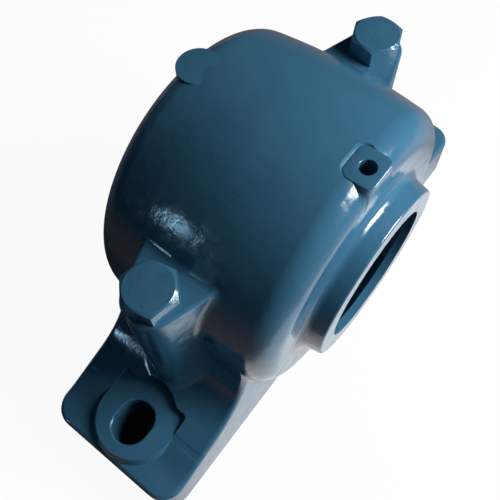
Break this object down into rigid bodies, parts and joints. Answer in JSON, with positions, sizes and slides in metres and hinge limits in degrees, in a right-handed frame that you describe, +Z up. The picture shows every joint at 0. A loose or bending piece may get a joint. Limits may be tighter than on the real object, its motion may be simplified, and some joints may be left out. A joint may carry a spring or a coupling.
{
  "type": "pillow block housing",
  "caption": "Split pillow block housing in blue-grey enamelled cast iron, with an open shaft bore, slotted feet and hexagon cap bolts.",
  "frame": {"origin": "centre of the base's underside, on the plane that the housing stands on", "axes": "+Z up, +Y along the shaft from the front to the back, +X along the feet"},
  "size_m": [0.38, 0.162, 0.2155],
  "materials": {
    "base_enamel": "glossy blue-grey enamel over a slightly rough casting",
    "cap_enamel": "glossy blue-grey enamel over a slightly rough casting",
    "bolt_enamel": "blue-grey enamel over a forged hexagon head",
    "dowel_steel": "ground steel"
  },
  "bodies": {
    "root": {"base": "base_enamel", "cap": "cap_enamel", "cap_bolt_left": "bolt_enamel", "cap_bolt_right": "bolt_enamel", "dowel_pin_left": "dowel_steel", "dowel_pin_right": "dowel_steel"}
  },
  "joints": []
}
